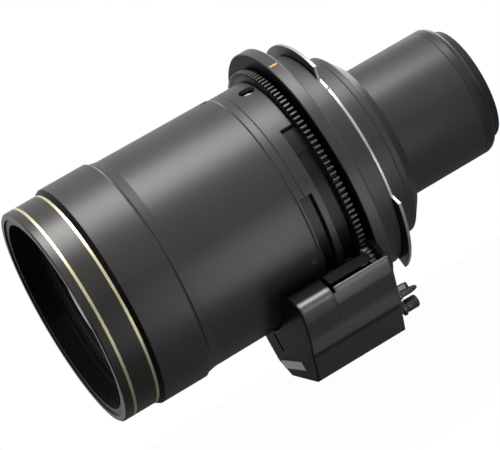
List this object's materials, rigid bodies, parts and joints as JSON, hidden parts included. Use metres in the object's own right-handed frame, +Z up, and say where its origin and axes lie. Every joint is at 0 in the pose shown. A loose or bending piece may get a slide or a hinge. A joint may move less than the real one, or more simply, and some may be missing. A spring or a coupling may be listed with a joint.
{
  "type": "zoom projection lens",
  "caption": "Zoom projection lens with a bayonet mount, a geared zoom ring, sliding lens groups and a motor drive housing under its rear barrel.",
  "frame": {"origin": "on the optical axis in the mount plane, which is the rear face of the flange", "axes": "+Y along the optical axis towards the rear tube, +Z up, away from the drive housing, +X to the side of the housing's pinion opening"},
  "size_m": [0.1341, 0.2296, 0.1532],
  "materials": {
    "satin_black": "satin",
    "ring_black": "semi-gloss",
    "trim_gold": "brushed pale gold",
    "inner_black": "matt",
    "anodised_black": "black anodised",
    "optical_glass": "coated",
    "pin_steel": "ground",
    "screw_steel": "plated",
    "screw_black": "black oxide",
    "gear_black": "moulded",
    "gear_brass": "machined",
    "gear_steel": "machined",
    "gear_white": "moulded",
    "bayonet_metal": "milled",
    "mark_orange": "paint filled",
    "cover_black": "fine grain",
    "base_black": "moulded",
    "label_grey": "bare foil",
    "motor_can": "plated can",
    "sensor_blue": "moulded",
    "connector_black": "moulded"
  },
  "bodies": {
    "lens_body": {"drum_snap_ring": "screw_steel", "front_barrel": "satin_black", "main_barrel": "satin_black", "barrel_screws": "screw_black", "mount_barrel": "satin_black", "guide_barrel": "anodised_black", "mount_flange": "satin_black", "index_mark": "mark_orange", "mount_spigot": "satin_black", "bayonet_ring": "bayonet_metal", "bayonet_screws": "screw_steel", "rear_collar": "satin_black", "rear_shroud": "satin_black", "rear_tube": "satin_black", "relay_lens": "optical_glass", "relay_spacer": "inner_black", "field_lens": "optical_glass", "rear_spacer": "inner_black", "rear_end_ring": "ring_black", "rear_retainer": "inner_black", "rear_lens": "optical_glass", "drive_base": "base_black", "drive_cover": "cover_black", "cover_screws": "screw_black", "label_plate": "label_grey", "zoom_motor": "motor_can", "focus_motor": "motor_can", "zoom_sensor": "sensor_blue", "focus_sensor": "sensor_blue", "pinion_bracket": "base_black", "connector": "connector_black"},
    "zoom_drum": {"zoom_ring": "gear_black", "cam_tube": "anodised_black", "zoom_keys": "pin_steel", "ring_screws": "screw_steel"},
    "variator": {"variator_cell": "inner_black", "variator_front_lens": "optical_glass", "variator_rear_lens": "optical_glass", "variator_retainer": "inner_black", "variator_pins": "pin_steel"},
    "compensator": {"compensator_cell": "inner_black", "compensator_lens": "optical_glass", "compensator_retainer": "inner_black", "compensator_pins": "pin_steel"},
    "focus_drum": {"focus_drum": "anodised_black"},
    "front_group": {"front_ring": "ring_black", "trim_lines": "trim_gold", "front_retainer": "inner_black", "front_cell": "inner_black", "front_lens": "optical_glass", "second_lens": "optical_glass", "third_lens": "optical_glass", "inner_retainer": "inner_black", "front_pins": "pin_steel"},
    "zoom_pinion": {"zoom_pinion": "gear_steel"},
    "zoom_motor_gear": {"zoom_motor_gear": "gear_brass"},
    "zoom_sensor_gear": {"zoom_sensor_gear": "gear_white"},
    "focus_pinion": {"focus_pinion": "gear_brass"},
    "focus_motor_gear": {"focus_motor_gear": "gear_brass"},
    "focus_sensor_gear": {"focus_sensor_gear": "gear_white"}
  },
  "joints": [
    {"name": "zoom_turn", "type": "hinge", "parent": "lens_body", "child": "zoom_drum", "pos_m": [0, -0.0186, 0], "axis": [0, 1, 0], "range_deg": [0, 60]},
    {"name": "variator_slide", "type": "slide", "parent": "lens_body", "child": "variator", "axis": [0, 1, 0], "range_m": [0, 0.016]},
    {"name": "compensator_slide", "type": "slide", "parent": "lens_body", "child": "compensator", "axis": [0, -1, 0], "range_m": [0, 0.006]},
    {"name": "focus_turn", "type": "hinge", "parent": "lens_body", "child": "focus_drum", "pos_m": [0, -0.05, 0], "axis": [0, 1, 0], "range_deg": [-20, 20]},
    {"name": "front_slide", "type": "slide", "parent": "lens_body", "child": "front_group", "axis": [0, -1, 0], "range_m": [-0.003, 0.003]},
    {"name": "zoom_pinion_turn", "type": "hinge", "parent": "lens_body", "child": "zoom_pinion", "pos_m": [0.04284, -0.011, -0.04928], "axis": [0, 1, 0], "range_deg": [-561.43, 0]},
    {"name": "zoom_motor_turn", "type": "hinge", "parent": "lens_body", "child": "zoom_motor_gear", "pos_m": [0.0357, -0.011, -0.0608], "axis": [0, 1, 0], "range_deg": [0, 491.25]},
    {"name": "zoom_sensor_turn", "type": "hinge", "parent": "lens_body", "child": "zoom_sensor_gear", "pos_m": [0.01602, -0.01, -0.06423], "axis": [0, 1, 0], "range_deg": [-491.25, 0]},
    {"name": "focus_pinion_turn", "type": "hinge", "parent": "lens_body", "child": "focus_pinion", "pos_m": [0.00202, -0.0255, -0.05792], "axis": [0, 1, 0], "range_deg": [-173, 173]},
    {"name": "focus_motor_turn", "type": "hinge", "parent": "lens_body", "child": "focus_motor_gear", "pos_m": [0.00248, -0.0255, -0.07116], "axis": [0, 1, 0], "range_deg": [-144.17, 144.17]},
    {"name": "focus_sensor_turn", "type": "hinge", "parent": "lens_body", "child": "focus_sensor_gear", "pos_m": [-0.01073, -0.0255, -0.07023], "axis": [0, 1, 0], "range_deg": [-173, 173]}
  ],
  "couplings": [
    {"joint": "variator_slide", "follows": "zoom_turn", "m_per_rad": 0.015279},
    {"joint": "compensator_slide", "follows": "zoom_turn", "m_per_rad": 0.0057295},
    {"joint": "front_slide", "follows": "focus_turn", "m_per_rad": 0.0085943},
    {"joint": "zoom_pinion_turn", "follows": "zoom_turn", "ratio": -9.3571},
    {"joint": "zoom_motor_turn", "follows": "zoom_turn", "ratio": 8.1875},
    {"joint": "zoom_sensor_turn", "follows": "zoom_turn", "ratio": -8.1875},
    {"joint": "focus_pinion_turn", "follows": "focus_turn", "ratio": -8.65},
    {"joint": "focus_motor_turn", "follows": "focus_turn", "ratio": 7.2083},
    {"joint": "focus_sensor_turn", "follows": "focus_turn", "ratio": -8.65}
  ]
}
